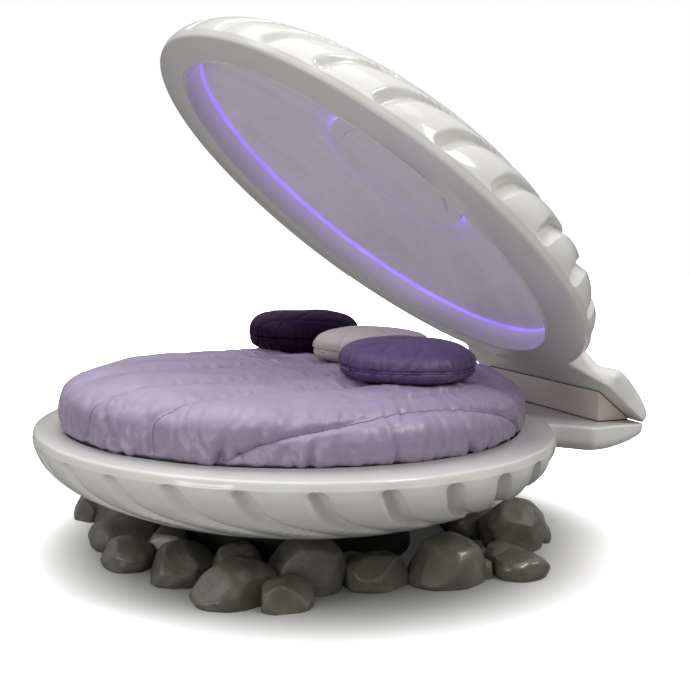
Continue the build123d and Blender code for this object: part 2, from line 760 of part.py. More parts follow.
# Cushions: round and crowned, pinched at the sewn edge, flat where they lie on the quilt
for name, (beside, behind, thick) in cushion_shares.items():
    x = quilt_half_width * cushion_middle_share[0] + cushion_radius * beside
    y = quilt_half_length * cushion_middle_share[1] + cushion_radius * behind
    thickness = cushion_radius * thick
    foot = cushion_radius * cushion_foot_share
    low = rim_height + rest_height(x, y, foot) + soft_gap
    seam_height = low + thickness * cushion_seam_share
    section = Plane(origin=(x, y, 0), x_dir=(1, 0, 0), z_dir=(0, -1, 0))
    with BuildPart() as cushion:
        with BuildSketch(section):
            with BuildLine():
                upper = Spline(
                    (0, low + thickness),
                    *[(cushion_radius * out, low + thickness * up) for out, up in cushion_crown_shares],
                    (cushion_radius - cushion_pinch, seam_height),
                    tangents=((1, 0), (-0.35, -1)),
                )
                lower = Spline(
                    upper @ 1,
                    *[(cushion_radius * out, low + thickness * up) for out, up in cushion_under_shares],
                    (foot, low),
                    tangents=((-0.1, -1), (-1, 0)),
                )
                Line(lower @ 1, (0, low))
                Line((0, low), upper @ 0)
            make_face()
        revolve(axis=Axis((x, y, 0), (0, 0, 1)))
    cushion.part.label = name
    export_step(cushion.part, f"parts/{name}.step")

# Plinth: a black drum of two boards and a wall, bolted to the shell's flat bottom
with BuildPart() as plinth_base:
    with BuildSketch(Plane.XY):
        Ellipse(plinth_half_width, plinth_half_length)
    extrude(amount=plinth_board)
plinth_base.part.label = "plinth_base"
export_step(plinth_base.part, "parts/plinth_base.step")

wall_half_width = plinth_half_width - plinth_inset
wall_half_length = plinth_half_length - plinth_inset
with BuildPart() as plinth_wall:
    with BuildSketch(Plane.XY.offset(plinth_board)):
        Ellipse(wall_half_width, wall_half_length)
        Ellipse(wall_half_width - plinth_board, wall_half_length - plinth_board,
                mode=Mode.SUBTRACT)
    extrude(amount=bowl_floor - 2 * plinth_board)
plinth_wall.part.label = "plinth_wall"
export_step(plinth_wall.part, "parts/plinth_wall.step")

with BuildPart() as plinth_top:
    with BuildSketch(Plane.XY.offset(bowl_floor - plinth_board)):
        Ellipse(plinth_half_width, plinth_half_length)
        with Locations(plinth_bolt_places):
            Circle(plinth_bolt_radius + bolt_clearance, mode=Mode.SUBTRACT)
    extrude(amount=plinth_board)
plinth_top.part.label = "plinth_top"
export_step(plinth_top.part, "parts/plinth_top.step")

with BuildPart() as plinth_bolts:
    with BuildSketch(Plane.XY.offset(bowl_floor - plinth_board)):
        with Locations(plinth_bolt_places):
            RegularPolygon(plinth_bolt_head_radius, 6)
    extrude(amount=-plinth_bolt_head)
    with BuildSketch(Plane.XY.offset(bowl_floor - plinth_board)):
        with Locations(plinth_bolt_places):
            Circle(plinth_bolt_radius)
    extrude(amount=plinth_board + shell_wall + plinth_bolt_head)
plinth_bolts.part.label = "plinth_bolts"
export_step(plinth_bolts.part, "parts/plinth_bolts.step")


# Ellipse given by shares of the shell's two half sizes and a turn: half sizes and turn
def stretched(half_width, half_depth, turn):
    wide = rim_half_width
    long = rim_half_length * stone_stretch
    across = (wide * half_width * cos(turn) + long * half_depth * cos(turn)) / 2
    change = (wide * half_width * cos(turn) - long * half_depth * cos(turn)) / 2
    shear = (long * half_width * sin(turn) - wide * half_depth * sin(turn)) / 2
    swing = (long * half_width * sin(turn) + wide * half_depth * sin(turn)) / 2
    mean = sqrt(across ** 2 + swing ** 2)
    spread = sqrt(change ** 2 + shear ** 2)
    return mean + spread, mean - spread, (atan2(swing, across) + atan2(shear, change)) / 2


# One stone: rounded above, flat on the floor, grown by a clearance when it cuts a neighbour
def stone_form(shares, growth):
    x, y, half_width, half_depth, height, turn, lean = shares
    longer, shorter, angle = stretched(half_width, half_depth, radians(turn))
    with BuildPart() as form:
        for level, size in stone_level_shares:
            place = Location((rim_half_width * (x + lean * level), rim_half_length * y,
                              (bowl_lift * stone_rise * height + growth) * level), degrees(angle))
            with BuildSketch(Plane(place)):
                Ellipse(longer * size + growth, shorter * size + growth)
        loft()
    return form.part


# Whether two stones stand so close that one must be cut to its place beside the other
def near(one, other):
    reach = max(rim_half_width, rim_half_length) * (max(one[2:4]) + max(other[2:4]))
    apart = Vector(rim_half_width * (one[0] - other[0]), rim_half_length * (one[1] - other[1]), 0)
    return apart.length < reach * stone_stretch + stone_gap


# Stones are set one after another, each cut to its place beside those already there
with BuildPart() as plinth_room:
    with BuildSketch(Plane.XY):
        Ellipse(plinth_half_width + stone_gap, plinth_half_length + stone_gap)
    extrude(amount=bowl_floor)
placed = []
for name, shares in stone_shares.items():
    cutters = [grown for other, grown in placed if near(shares, other)]
    cutters.append(plinth_room.part)
    body = stone_form(shares, 0)
    with BuildPart() as stone:
        add(body)
        for cutter in cutters:
            add(cutter, mode=Mode.SUBTRACT)
    placed.append((shares, stone_form(shares, stone_gap)))
    stone.part.label = name
    export_step(stone.part, f"parts/{name}.step")
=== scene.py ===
import json
from math import cos, pi, radians, sin, sqrt, tan

import bmesh
import bpy
import numpy as np
from mathutils import Matrix, Vector, noise

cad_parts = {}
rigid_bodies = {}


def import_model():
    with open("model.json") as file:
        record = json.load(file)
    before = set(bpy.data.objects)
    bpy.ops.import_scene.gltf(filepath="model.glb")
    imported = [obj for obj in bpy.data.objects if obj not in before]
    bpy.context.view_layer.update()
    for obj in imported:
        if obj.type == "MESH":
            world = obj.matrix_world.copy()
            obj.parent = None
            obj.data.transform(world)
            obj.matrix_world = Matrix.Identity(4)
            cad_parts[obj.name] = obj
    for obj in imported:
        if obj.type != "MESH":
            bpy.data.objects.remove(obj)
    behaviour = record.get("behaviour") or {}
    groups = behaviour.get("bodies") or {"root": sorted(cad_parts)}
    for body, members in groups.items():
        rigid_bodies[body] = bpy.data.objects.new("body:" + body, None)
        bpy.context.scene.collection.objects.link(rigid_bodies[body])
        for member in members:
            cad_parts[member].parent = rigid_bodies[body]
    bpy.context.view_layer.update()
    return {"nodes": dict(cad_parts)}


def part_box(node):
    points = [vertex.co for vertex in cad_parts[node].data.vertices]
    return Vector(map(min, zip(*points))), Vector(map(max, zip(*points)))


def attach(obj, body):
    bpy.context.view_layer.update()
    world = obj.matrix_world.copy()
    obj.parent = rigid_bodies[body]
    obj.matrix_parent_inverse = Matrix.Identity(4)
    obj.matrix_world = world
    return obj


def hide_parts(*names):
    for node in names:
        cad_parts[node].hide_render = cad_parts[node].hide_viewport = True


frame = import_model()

scene = bpy.context.scene


# Sets inputs of a node by name, each to a plain value or to the output of another node.
def set_inputs(node, inputs):
    for name, value in inputs.items():
        if isinstance(value, bpy.types.NodeSocket):
            node.id_data.links.new(value, node.inputs[name])
        else:
            node.inputs[name].default_value = value


def add_node(tree, kind, inputs=None, **settings):
    node = tree.nodes.new(kind)
    for name, value in settings.items():
        setattr(node, name, value)
    set_inputs(node, inputs or {})
    return node


def add_noise(tree, place, scale, detail=2.0, roughness=0.5, distortion=0.0):
    return add_node(tree, "ShaderNodeTexNoise", {
        "Vector": place.outputs[0 if place.type == "MAPPING" else "Object"], "Scale": scale,
        "Detail": detail, "Roughness": roughness, "Distortion": distortion})


# Colour ramp through stops of a position and a colour: the two outer ones, then any between.
def add_ramp(tree, factor, *stops):
    ramp = add_node(tree, "ShaderNodeValToRGB", {"Fac": factor})
    elements = ramp.color_ramp.elements
    for index, (position, colour) in enumerate(stops):
        stop = elements[index] if index < 2 else elements.new(position)
        stop.position = position
        stop.color = (*colour, 1.0)
    return ramp.outputs["Color"]


# Spreads a value from one range over another. The curve between is straight or soft.
def add_spread(tree, value, source, target, curve="LINEAR"):
    spread = add_node(tree, "ShaderNodeMapRange", {
        "Value": value, "From Min": source[0], "From Max": source[1],
        "To Min": target[0], "To Max": target[1]}, interpolation_type=curve)
    return spread.outputs["Result"]


def add_bump(tree, height, strength, distance):
    return add_node(tree, "ShaderNodeBump", {
        "Height": height.outputs["Fac"], "Strength": strength, "Distance": distance})


def add_blend(tree, factor, first, second):
    return add_node(tree, "ShaderNodeMix", {"Factor": factor, "A": first, "B": second},
                    data_type="RGBA").outputs["Result"]


# Material with its node tree, its shader and a node for places on the object.
def new_paint(name, inputs):
    paint = bpy.data.materials.new(name)
    paint.use_nodes = True
    shader = paint.node_tree.nodes["Principled BSDF"]
    set_inputs(shader, inputs)
    return paint, paint.node_tree, shader, add_node(paint.node_tree, "ShaderNodeTexCoord")


def paint_piece(piece, paint):
    piece.data.materials.clear()
    piece.data.materials.append(paint)


def paint_nodes(names, paint):
    for name in names:
        paint_piece(bpy.data.objects[name], paint)


def put_in_scene(name, data):
    piece = bpy.data.objects.new(name, data)
    scene.collection.objects.link(piece)
    return piece


# Camera. It stands about 3.5 m from the bed, a little above the quilt, and looks over the
# right-hand side towards the back of the lower shell.
camera = bpy.data.cameras.new("photo_camera")
camera.sensor_width = 36.0
camera.lens = 50.35
camera_object = put_in_scene("photo_camera", camera)
right = Vector((0.37073, 0.92863, 0.01415)).normalized()
back = Vector((0.92362, -0.37024, 0.09928)).normalized()
up = back.cross(right).normalized()
camera_object.matrix_world = Matrix((
    (right.x, up.x, back.x, 3.3177),
    (right.y, up.y, back.y, -1.1367),
    (right.z, up.z, back.z, 1.0784),
    (0.0, 0.0, 0.0, 1.0),
))
scene.camera = camera_object
scene.view_settings.view_transform = "Standard"


# Lets the camera see one shader and everything else another.
def split_rays(tree, lit, seen, out_kind):
    rays = add_node(tree, "ShaderNodeLightPath")
    mix = add_node(tree, "ShaderNodeMixShader", {
        "Fac": rays.outputs["Is Camera Ray"], 1: lit.outputs[0], 2: seen.outputs[0]})
    add_node(tree, out_kind, {"Surface": mix.outputs[0]})


# World. The camera sees plain white, and the lacquer reflects a studio that is bright above
# and darker towards the horizon.
white = (1.0, 1.0, 1.0)
world = bpy.data.worlds.new("studio")
scene.world = world
world.use_nodes = True
tree = world.node_tree
tree.nodes.clear()
sky_place = add_node(tree, "ShaderNodeTexCoord")
sky_height = add_node(tree, "ShaderNodeSeparateXYZ", {0: sky_place.outputs["Generated"]})
sky = add_ramp(tree, sky_height.outputs["Z"], (0.0, (0.14, 0.135, 0.125)), (0.85, white))
lit_world = add_node(tree, "ShaderNodeBackground", {"Color": sky, "Strength": 0.85})
seen_world = add_node(tree, "ShaderNodeBackground", {"Color": (*white, 1.0), "Strength": 1.0})
split_rays(tree, lit_world, seen_world, "ShaderNodeOutputWorld")

# Soft boxes: a wide one overhead, one on the camera's left for the rims and lobes, one on its
# right that lifts the ears, and a low weak one beside the camera for the hollow of the lid.
for name, place, target, size_x, size_y, power, tint in (
    ("light_overhead", (0.8, -1.4, 8.0), (0.0, 0.2, 0.4), 9.0, 8.0, 330.0, (1.0, 0.995, 0.985)),
    ("light_left", (1.6, -4.2, 2.6), (0.0, 0.0, 0.7), 1.2, 1.4, 10.0, (0.97, 0.98, 1.0)),
    ("light_right", (4.2, 2.2, 4.4), (0.3, 0.4, 0.4), 1.4, 1.4, 90.0, (1.0, 0.98, 0.96)),
    ("light_front", (2.6, -3.6, 0.3), (0.0, 0.6, 1.7), 1.8, 0.8, 28.0, (1.0, 0.985, 0.97)),
):
    lamp = bpy.data.lights.new(name, "AREA")
    lamp.shape = "RECTANGLE"
    lamp.size = size_x
    lamp.size_y = size_y
    lamp.energy = power
    lamp.color = tint
    lamp_object = put_in_scene(name, lamp)
    lamp_object.location = place
    aim = (Vector(target) - Vector(place)).to_track_quat("-Z", "Y")
    lamp_object.rotation_euler = aim.to_euler()

# Floor. A wide sheet of paper: grey for the light that bounces off it, white and overexposed for
# # the camera. Round the bed the camera's colour is painted darker, a painted shadow over the soft
# # real shadow round the stones, and far from the bed it turns into the plain background.
floor_reach, painted_shadow_middle = 30, (0.04, 0.14, 0.0)
floor_mesh = bpy.data.meshes.new("floor")
floor_mesh.from_pydata([(x * floor_reach, y * floor_reach, 0) for x, y
                        in ((-1, -1), (1, -1), (1, 1), (-1, 1))], [], [(0, 1, 2, 3)])
floor = put_in_scene("floor", floor_mesh)
floor_paint = bpy.data.materials.new("floor_paper")
floor_paint.use_nodes = True
tree = floor_paint.node_tree
tree.nodes.clear()
floor_place = add_node(tree, "ShaderNodeTexCoord")
from_middle = add_node(tree, "ShaderNodeVectorMath", {
    0: floor_place.outputs["Object"], 1: painted_shadow_middle}, operation="SUBTRACT")
distance = add_node(tree, "ShaderNodeVectorMath", {0: from_middle.outputs["Vector"]},
                    operation="LENGTH").outputs["Value"]
# Painted shadow: the paper the camera sees is dark near the bed and overexposed far from it.
painted_shadow_gain = add_spread(tree, distance, (0.5, 1.6), (0.2, 2.6), "SMOOTHSTEP")
fade = add_spread(tree, distance, (1.1, 3.0), (0.02, 0.9), "SMOOTHSTEP")
paper = add_node(tree, "ShaderNodeBsdfDiffuse", {"Color": (0.30, 0.295, 0.29, 1.0)})
seen_paper = add_node(tree, "ShaderNodeBsdfDiffuse", {"Color": painted_shadow_gain})
glow = add_node(tree, "ShaderNodeEmission", {"Color": (*white, 1.0), "Strength": fade})
bright = add_node(tree, "ShaderNodeAddShader", {0: seen_paper.outputs[0], 1: glow.outputs[0]})
split_rays(tree, paper, bright, "ShaderNodeOutputMaterial")
floor_mesh.materials.append(floor_paint)

# Lacquer of both shells: a warm white moulding under a clear coat, with faint clouding and
# the slight ripple of sprayed gloss.
lacquer, tree, shader, place = new_paint("shell_lacquer", {
    "Roughness": 0.24, "Coat Weight": 0.6, "Coat Roughness": 0.06})
cloud = add_noise(tree, place, 2.2, detail=4.0)
ripple = add_bump(tree, add_noise(tree, place, 38.0), 0.06, 0.002).outputs["Normal"]
set_inputs(shader, {"Base Color": add_ramp(tree, cloud.outputs["Fac"],
                                           (0.35, (0.68, 0.675, 0.65)),
                                           (0.65, (0.735, 0.73, 0.705))),
                    "Normal": ripple, "Coat Normal": ripple})

# Shells. Sizes are those of the CAD model, in metres: half width and half length of the rim,
# height of the rim, depth of the bowl, and the line where the two rim planes meet.
half_width, half_length = 0.975, 0.919
rim_height, bowl_depth = 0.45, 0.265
hinge_y, tilt = 1.192, radians(38.0)
lid_middle = np.array((0.0, hinge_y * (1 - cos(tilt)), rim_height + hinge_y * sin(tilt)))
lid_back = np.array((0.0, cos(tilt), -sin(tilt)))
lid_out = np.array((0.0, sin(tilt), cos(tilt)))


def in_lower(x, y, depth):
    return np.stack((x, y, rim_height - depth), axis=-1)


def in_lid(x, y, depth):
    flat = np.stack((x, np.zeros_like(x), np.zeros_like(x)), axis=-1)
    return lid_middle + flat + y[..., None] * lid_back + depth[..., None] * lid_out


# Smooth curve through the rows of a table, with some steps between each two rows.
def through_rows(rows, steps):
    rows = np.array(rows, float)
    rows = np.vstack((2 * rows[0] - rows[1], rows, 2 * rows[-1] - rows[-2]))
    found = []
    for index in range(1, len(rows) - 2):
        a, b, c, d = rows[index - 1:index + 3]
        for step in range(steps):
            t = step / steps
            found.append(0.5 * (2 * b + (c - a) * t + (2 * a - 5 * b + 4 * c - d) * t ** 2
                                + (3 * b - a - 3 * c + d) * t ** 3))
    found.append(rows[-2])
    return np.array(found)


def smooth_step(value):
    value = np.clip(value, 0.0, 1.0)
    return value * value * (3 - 2 * value)


# Side faces between rings of points, each ring closed on itself.
def tube_faces(rings, columns):
    faces = []
    for first in range(0, (rings - 1) * columns, columns):
        for column in range(columns):
            following = (column + 1) % columns
            faces.append((first + column, first + following,
                          first + columns + following, first + columns + column))
    return faces


# Closed mesh from rings of points, with a point in the middle of each end.
def capped_mesh(name, vertices, rings, columns):
    faces = tube_faces(rings, columns)
    last, middle = (rings - 1) * columns, rings * columns
    for column in range(columns):
        following = (column + 1) % columns
        faces.append((following, column, middle))
        faces.append((last + column, last + following, middle + 1))
    mesh = bpy.data.meshes.new(name)
    mesh.from_pydata(vertices, [], faces)
    return mesh


# Turns all faces outwards. Faces of many corners are cut into triangles first.
def turn_outwards(mesh):
    shape = bmesh.new()
    shape.from_mesh(mesh)
    bmesh.ops.triangulate(shape, faces=[face for face in shape.faces if len(face.verts) > 4])
    bmesh.ops.recalc_face_normals(shape, faces=shape.faces)
    shape.to_mesh(mesh)
    shape.free()


# Scoops round the shell: each starts under a rounded arch below the plain band and sweeps
# towards the hinge on the way down. Its front wall is soft and its far side is the sharp edge
# of the next lobe.
scoop_pitch = pi / 14
# Rows: depth share, place of the front wall and of the far edge in pitches.
sweep = through_rows((
    (0.10, 0.0, 0.32), (0.20, 0.02, 0.36), (0.30, 0.07, 0.44), (0.40, 0.14, 0.55),
    (0.49, 0.24, 0.71), (0.56, 0.38, 0.92), (0.62, 0.62, 1.16), (0.70, 1.00, 1.50),
    (0.78, 1.34, 1.80), (0.88, 1.70, 2.15),
), 6)
arch_top, arch_low, arch_middle = 0.105, 0.20, 0.18
scoop_depth, lobe_bulge, least_width = 0.066, 0.09, 0.01
front_wall, far_wall, far_sharpness = 0.62, 0.36, 1.8
front_growth, rear_growth = 0.36, 0.64


def scoop_cut(turns, depth_share, weight, start):
    turn = np.where(turns <= pi, turns, 2 * pi - turns)
    open_share = np.clip((depth_share - arch_top) / (arch_low - arch_top), 0.0, 1.0)
    open_share = np.sqrt(1 - (1 - open_share) ** 2)
    wall, edge = (arch_middle + (np.interp(depth_share, sweep[:, 0], sweep[:, side])
                                 - arch_middle) * open_share for side in (1, 2))
    width = max(edge - wall, least_width)
    across = np.mod(turn / scoop_pitch - start - wall, 1.0) / width
    far_side = np.clip((1 - across) / far_wall, 0.0, 1.0)
    hollow = smooth_step(across / front_wall) * (1 - (1 - far_side) ** far_sharpness)
    over_lobe = np.clip((across - 1) / max(1 / width - 1, 0.1), 0.0, 1.0)
    bulge = np.where(across > 1.0, lobe_bulge * weight, 0.0) * np.sin(pi * over_lobe)
    growth = front_growth + rear_growth * np.sin(turn / 2) ** 2
    return growth * scoop_depth * (weight * hollow * smooth_step(open_share * 1.4) - bulge)


# Closed mesh from rings: each ring is a depth, two half sizes and a weight for the scoops.
def ring_mesh(name, rings, columns, start, to_world):
    angles = np.arange(columns) * 2 * pi / columns
    points = []
    for depth, wide, long, weight in rings:
        scale = 1 - scoop_cut(angles, depth / bowl_depth, weight, start) / half_width
        points.append(to_world(wide * scale * np.sin(angles), -long * scale * np.cos(angles),
                               np.full(columns, depth)))
    ends = [to_world(np.zeros(1), np.zeros(1), np.array([rings[end][0]])) for end in (0, -1)]
    mesh = capped_mesh(name, np.vstack(points + ends).tolist(), len(rings), columns)
    turn_outwards(mesh)
    return put_in_scene(name, mesh)


# Rings without scoops, from rows of a depth share and an outline share.
def plain_rings(rows):
    return [(depth * bowl_depth, half_width * plan, half_length * plan, 0.0)
            for depth, plan in rows]


# Rings of a recess of these half sizes, from rows of a depth and a margin round the outline.
def margin_rings(rows, wide, long):
    return [(depth, wide + margin, long + margin, 0.0) for depth, margin in rows]


# Outer skin as depth share, outline share and scoop weight, from the rim's top inwards, and
# the inner side of the moulding from below the rim to the bottom of the bowl.
skin = through_rows((
    (0.0, 0.9895, 0.0), (0.006, 0.9935, 0.0), (0.018, 0.9968, 0.0), (0.04, 0.999, 0.0),
    (0.075, 1.0, 0.3), (0.125, 0.9995, 0.8), (0.25, 0.990, 1.0), (0.42, 0.962, 1.0),
    (0.62, 0.900, 0.75), (0.82, 0.790, 0.2), (0.94, 0.692, 0.0), (1.0, 0.62, 0.0),
), 7)
skin_rings = [(depth * bowl_depth, half_width * plan, half_length * plan, weight)
              for depth, plan, weight in skin]
inner_rows = ((0.42, 0.893), (0.62, 0.838), (0.82, 0.738), (0.947, 0.6))
shell_columns, sharp_corner = 28 * 33, 28.0

# Ears: a slab behind each shell that starts inside its skin. The flanks have two faces, the
# outer edges are well rounded, and the slab curves in to a thin end at the hinge line.

# Corners: half width, place behind the middle and rounding.
ear_corners = ((0.385, 0.70, 0.0), (0.392, 0.852, 0.05), (0.501, 0.956, 0.035),
               (0.487, 1.078, 0.06), (0.492, 1.19, 0.03), (0.0, 1.19, 0.0))
ear_thickness, ear_tip, ear_off_plane = 0.09, 0.036, 0.0004
flank_start, flank_length, ear_end = 0.781, 0.409, 1.19
front_arc, front_wide, front_long = 0.866, 0.386, 0.89
tip_start, tip_length, tip_curve, tip_drop = 1.002, 0.188, 0.62, 0.3836
dent_middle, dent_width = 0.915, 0.038
top_rounding, low_rounding, low_rounding_loss, low_start = 0.042, 0.009, 0.0075, 0.3


def rounded_outline(corners, steps):
    points = []
    for index, (x, y, radius) in enumerate(corners):
        if radius == 0.0:
            points.append((x, y))
            continue
        corner = Vector((x, y))
        before = (Vector(corners[index - 1][:2]) - corner).normalized()
        after = (Vector(corners[(index + 1) % len(corners)][:2]) - corner).normalized()
        half = before.angle(after) / 2
        reach = radius / tan(half)
        middle = corner + (before + after).normalized() * radius / sin(half)
        start, end = corner + before * reach - middle, corner + after * reach - middle
        for step in range(steps + 1):
            points.append(tuple(middle + start.lerp(end, step / steps).normalized() * radius))
    return points


# Cross-section of an ear: half width, height and rounding of its upper and lower edges.
def ear_section(wide, high, top, low):
    top_turns = np.linspace(0.0, pi / 2, 11)
    low_turns = np.linspace(low_start, pi / 2, 5)
    ring = [(share * (wide - low), 0.0) for share in np.linspace(-1.0, 1.0, 24)]
    ring += [(wide - low + low * sin(turn), low - low * cos(turn)) for turn in low_turns]
    ring += [(wide - top + top * cos(turn), high - top + top * sin(turn)) for turn in top_turns]
    ring += [(share * (wide - top), high) for share in np.linspace(0.9, -0.9, 20)]
    ring += [(top - wide - top * sin(turn), high - top + top * cos(turn)) for turn in top_turns]
    ring += [(low - wide - low * cos(turn), low - low * sin(turn))
             for turn in np.linspace(0.0, pi / 2 - low_start, 5)]
    return ring


def ear_mesh(name, dent, to_world):
    outline = np.array(rounded_outline(ear_corners, 6)[:-1])
    rings = []
    for along in np.sin(np.linspace(0.0, pi / 2, 90)):
        flank = flank_start + flank_length * along
        wide = float(np.interp(flank, outline[:, 1], outline[:, 0]))
        reach = max(0.0, (flank - tip_start) / tip_length)
        curve = (1 - sqrt(1 - tip_curve * reach ** 2)) / tip_drop
        high = ear_thickness + (ear_tip - ear_thickness) * curve
        high -= dent * np.exp(-((flank - dent_middle) / dent_width) ** 2)
        low = low_rounding - low_rounding_loss * min(reach, 1.0) ** 2
        section = ear_section(wide, high, min(top_rounding, 0.75 * high), low)
        rings.append([(x, front_arc * sqrt(1 - (x / wide * front_wide / front_long) ** 2)
                       * (1 - along) + ear_end * along, z + ear_off_plane) for x, z in section])
    places = np.array(rings)
    count = places.shape[1]
    points = to_world(places[..., 0], places[..., 1], places[..., 2]).reshape(-1, 3)
    faces = [tuple(range(count)), tuple(range(len(points) - count, len(points)))]
    mesh = bpy.data.meshes.new(name)
    mesh.from_pydata(points.tolist(), [], faces + tube_faces(len(places), count))
    turn_outwards(mesh)
    return put_in_scene(name, mesh)


# Joins the ears to their shell and shades the result smooth, apart from real corners.
def joined(piece, other):
    union = piece.modifiers.new("join", "BOOLEAN")
    union.operation = "UNION"
    union.solver = "EXACT"
    union.object = other
    graph = bpy.context.evaluated_depsgraph_get()
    mesh = bpy.data.meshes.new_from_object(piece.evaluated_get(graph))
    piece.modifiers.clear()
    piece.data = mesh
    bpy.data.objects.remove(other)
    mesh.shade_smooth()
    mesh.set_sharp_from_angle(angle=radians(sharp_corner))
    paint_piece(piece, lacquer)
    return piece


# Lower shell: the skin, the flat rim, the well and the room under the mattress.
well_wide, well_long = 0.800, 0.818
lower_rings = skin_rings[::-1]
lower_rings += margin_rings(((0.0, 0.006), (0.002, 0.0015), (0.007, 0.0), (0.02, 0.0)),
                            well_wide, well_long)
lower_rings += [(0.02, 0.8775, 0.8271, 0.0)]
lower_rings += plain_rings(inner_rows)
lower_shell = ring_mesh("lower_shell_skin", lower_rings, shell_columns, 0.55, in_lower)
lower_shell = joined(lower_shell, ear_mesh("lower_ears", 0.0, in_lower))
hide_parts("lower_shell")
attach(lower_shell, "bed")

# Upper shell: the same skin, a raised crown, and the recess with its rounded mouth.
recess_wide, recess_long, recess_deep = 0.763, 0.806, 0.084
crown = through_rows(((0.94, 0.69), (1.0, 0.62), (1.1, 0.44), (1.16, 0.26), (1.185, 0.08)), 4)
upper_rings = plain_rings(crown[4:][::-1])
upper_rings += skin_rings[::-1][1:]
upper_rings += margin_rings(((0.0, 0.012), (-0.0025, 0.008), (-0.003, 0.004), (-0.001, 0.0008),
                             (0.003, 0.0), (recess_deep, 0.0), (recess_deep, 0.014)),
                            recess_wide, recess_long)
upper_rings += plain_rings(inner_rows + ((1.08, 0.4),))
upper_shell = ring_mesh("upper_shell_skin", upper_rings, shell_columns, 0.66, in_lid)
upper_shell = joined(upper_shell, ear_mesh("upper_ears", 0.026, in_lid))

# The recess wall has the same lacquer with a painted violet glow next to the ceiling: the wall
# # itself emits light, standing in for the cove's light falling on it.
painted_glow_start, painted_glow_strength, painted_glow_colour = 0.012, 0.26, (0.40, 0.24, 0.82, 1.0)
glow_lacquer = lacquer.copy()
glow_lacquer.name = "recess_lacquer"
tree = glow_lacquer.node_tree
wall_place = add_node(tree, "ShaderNodeTexCoord")
wall_depth = add_node(tree, "ShaderNodeVectorMath", {
    0: wall_place.outputs["Object"], 1: lid_out.tolist()}, operation="DOT_PRODUCT")
rim_depth = float(lid_middle @ lid_out)
# Painted glow: the wall's own emission rises from near the rim to full strength at the ceiling.
painted_glow = add_spread(tree, wall_depth.outputs["Value"],
                  (rim_depth + painted_glow_start, rim_depth + recess_deep), (0.0, painted_glow_strength),
                  "SMOOTHSTEP")
set_inputs(tree.nodes["Principled BSDF"], {"Emission Strength": painted_glow,
                                           "Emission Color": painted_glow_colour})
upper_shell.data.materials.append(glow_lacquer)
wall_top, wall_slack = 0.004, 0.006
for face in upper_shell.data.polygons:
    from_middle = np.array(face.center) - lid_middle
    share = np.hypot(from_middle[0] / recess_wide, from_middle @ lid_back / recess_long)
    if wall_top < from_middle @ lid_out < recess_deep and abs(share - 1) < wall_slack:
        face.material_index = 1
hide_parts("upper_shell")
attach(upper_shell, "bed")

# Wedge between the ears: the CAD moulding in a more mirror-like lacquer, painted a lighter, warmer
# # tint: a painted reflection of the warm light its gloss shows.
wedge_paint = lacquer.copy()
wedge_paint.name = "wedge_lacquer"
reflection_tones = [node for node in wedge_paint.node_tree.nodes if node.type == "VALTORGB"][0]
# Painted reflection: warm, lighter tones in place of the lacquer's own.
reflection_tones.color_ramp.elements[0].color = (0.84, 0.74, 0.66, 1.0)
reflection_tones.color_ramp.elements[1].color = (0.90, 0.80, 0.72, 1.0)
set_inputs(wedge_paint.node_tree.nodes["Principled BSDF"], {"Coat Weight": 1.0,
                                                            "Coat Roughness": 0.04})
paint_nodes(("hinge_wedge",), wedge_paint)

# Gaskets, brackets and bolts of the hinge, and the small plastic parts: black rubber, satin
# black steel, zinc and plastic. Each is speckled a little in tone and gloss.
speck_gain, speck_lift, gloss_spread = 1.35, 0.01, 0.08
for material_name, colour, metallic, rough, grain, names in (
    ("gasket_rubber", (0.02, 0.02, 0.02), 0.0, 0.75, 900.0, ("gasket_lower", "gasket_upper")),
    ("bracket_paint", (0.02, 0.02, 0.022), 0.0, 0.42, 500.0,
     ("bracket_left", "bracket_centre", "bracket_right")),
    ("bolt_zinc", (0.62, 0.62, 0.6), 1.0, 0.32, 700.0,
     ("ear_bolts_lower", "ear_bolts_upper", "plinth_bolts")),
    ("driver_plastic", (0.03, 0.03, 0.03), 0.0, 0.5, 800.0, ("light_driver", "cable_gland")),
    ("spacer_plastic", (0.75, 0.75, 0.74), 0.0, 0.45, 600.0, ("medallion_spacers",)),
):
    paint, tree, shader, place = new_paint(material_name, {"Metallic": metallic})
    speck = add_noise(tree, place, grain).outputs["Fac"]
    lighter = [min(1.0, part * speck_gain + speck_lift) for part in colour]
    set_inputs(shader, {
        "Base Color": add_blend(tree, speck, (*colour, 1.0), (*lighter, 1.0)),
        "Roughness": add_spread(tree, speck, (0.0, 1.0),
                                (rough - gloss_spread, rough + gloss_spread))})
    paint_nodes(names, paint)

# Violet light: the diffuser in the cove and the strips behind it and behind the medallion.
for material_name, colour, strength, names in (
    ("cove_glow", (0.24, 0.14, 0.80), 1.05, ("cove_diffuser",)),
    ("strip_glow", (0.2, 0.1, 1.0), 3.0, ("cove_light_strip",)),
    ("halo_glow", (0.14, 0.04, 1.0), 17.0, ("halo_light_strip",)),
):
    paint, tree, shader, place = new_paint(material_name, {
        "Roughness": 0.6, "Base Color": (0.5, 0.45, 0.8, 1.0), "Emission Color": (*colour, 1.0)})
    uneven = add_noise(tree, place, 9.0).outputs["Fac"]
    set_inputs(shader, {"Emission Strength": add_spread(
        tree, uneven, (0.3, 0.7), (strength * 0.85, strength * 1.15))})
    paint_nodes(names, paint)

